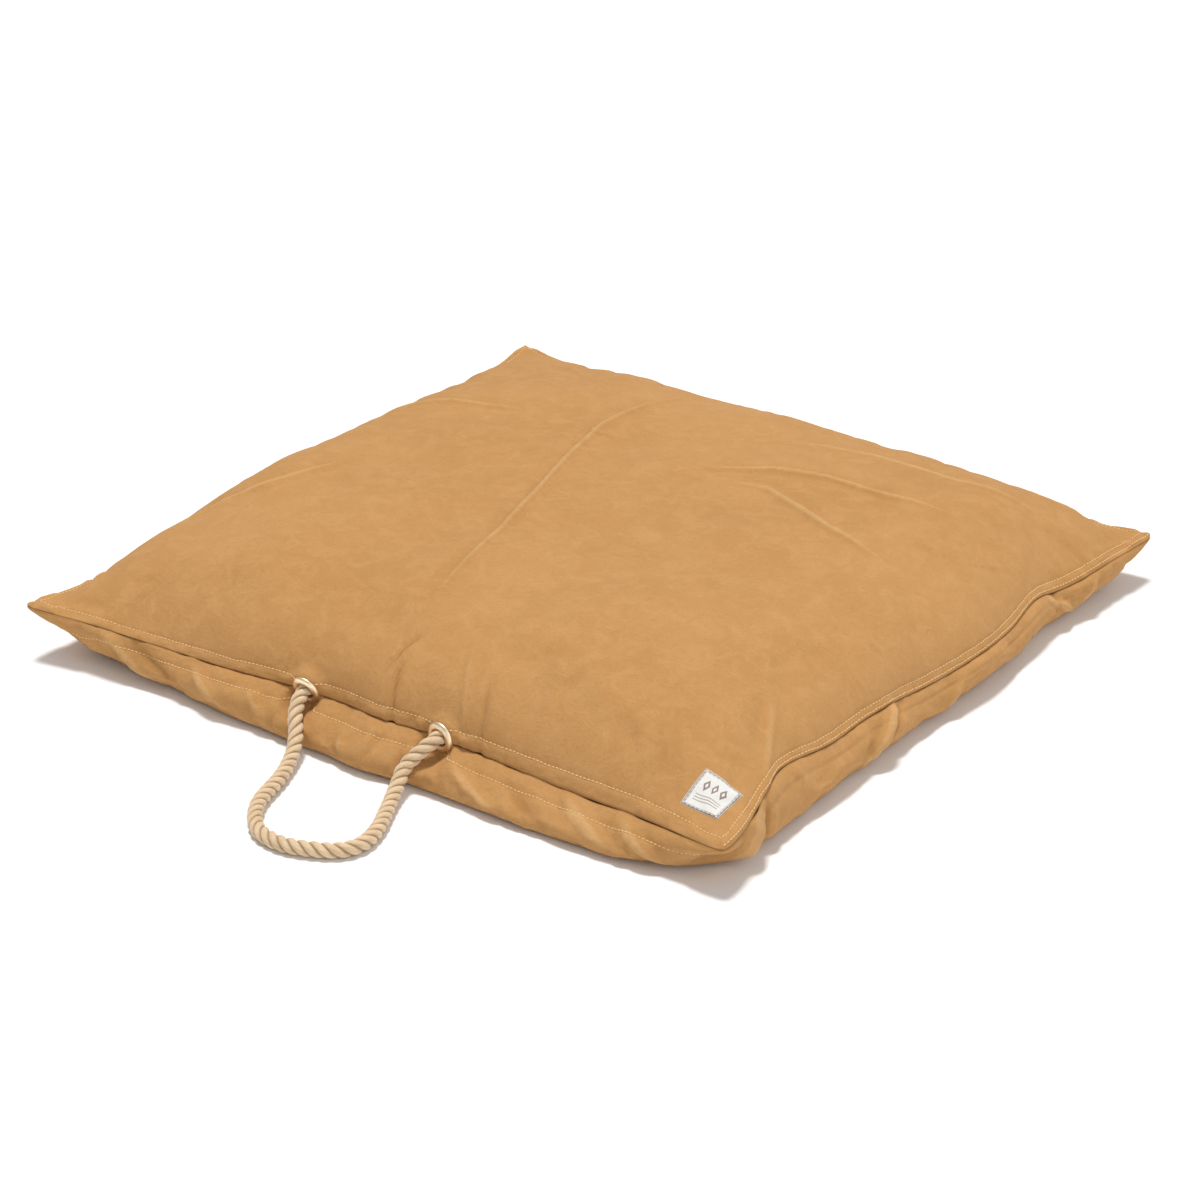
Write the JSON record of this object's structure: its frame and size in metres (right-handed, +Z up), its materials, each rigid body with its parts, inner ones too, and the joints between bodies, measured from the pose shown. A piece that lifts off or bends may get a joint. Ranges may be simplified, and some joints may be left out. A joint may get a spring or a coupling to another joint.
{
  "type": "floor cushion",
  "caption": "Large square canvas floor cushion with a removable stuffed insert, a back zip and a rope carrying handle held in brass grommets.",
  "frame": {"origin": "on the floor, under the middle of the canvas cover's box, leaving out the rope handle", "axes": "+Z up from the floor, -Y towards the side that carries the rope handle, +X towards the right when facing that side"},
  "size_m": [0.914, 1.0998, 0.145],
  "materials": {
    "canvas": "brushed and waxed cotton duck",
    "thread": "heavy polyester sewing thread",
    "ticking": "plain cotton ticking",
    "fibre": "loose polyester fibre",
    "rope": "three-strand cotton rope",
    "label_cloth": "woven satin ribbon",
    "zip_tape": "woven polyester tape",
    "zip_coil": "dyed nylon coil",
    "brass": "polished brass"
  },
  "bodies": {
    "cushion": {"top_panel": "canvas", "bottom_panel": "canvas", "top_edge_thread": "thread", "top_handle_thread": "thread", "bottom_edge_thread": "thread", "bottom_handle_thread": "thread", "insert_top_panel": "ticking", "insert_bottom_panel": "ticking", "fibre_filling": "fibre", "grommet_left": "brass", "grommet_right": "brass", "grommet_washer_left": "brass", "grommet_washer_right": "brass", "rope_tail_left": "rope", "rope_tail_right": "rope", "stopper_knot_left": "rope", "stopper_knot_right": "rope", "label": "label_cloth", "label_thread": "thread", "zip_tape_upper": "zip_tape", "zip_tape_lower": "zip_tape", "zip_coil_upper": "zip_coil", "zip_coil_lower": "zip_coil", "zip_top_stop": "brass", "zip_bottom_stop": "brass"},
    "handle": {"rope_handle": "rope"},
    "zip_slider": {"zip_slider": "brass"},
    "zip_pull": {"zip_pull_tab": "brass"}
  },
  "joints": [
    {"name": "handle_swing", "type": "hinge", "parent": "cushion", "child": "handle", "pos_m": [0.00174, -0.43683, 0.04759], "axis": [-1, 0.0038, -0.0011], "range_deg": [0, 100]},
    {"name": "zip_slide", "type": "slide", "parent": "cushion", "child": "zip_slider", "axis": [0.9989, 0, -0.0477], "range_m": [0, 0.506]},
    {"name": "pull_swing", "type": "hinge", "parent": "zip_slider", "child": "zip_pull", "pos_m": [-0.25341, 0.44275, 0.08579], "axis": [0.0477, 0, 0.9989], "range_deg": [0, 165]}
  ]
}
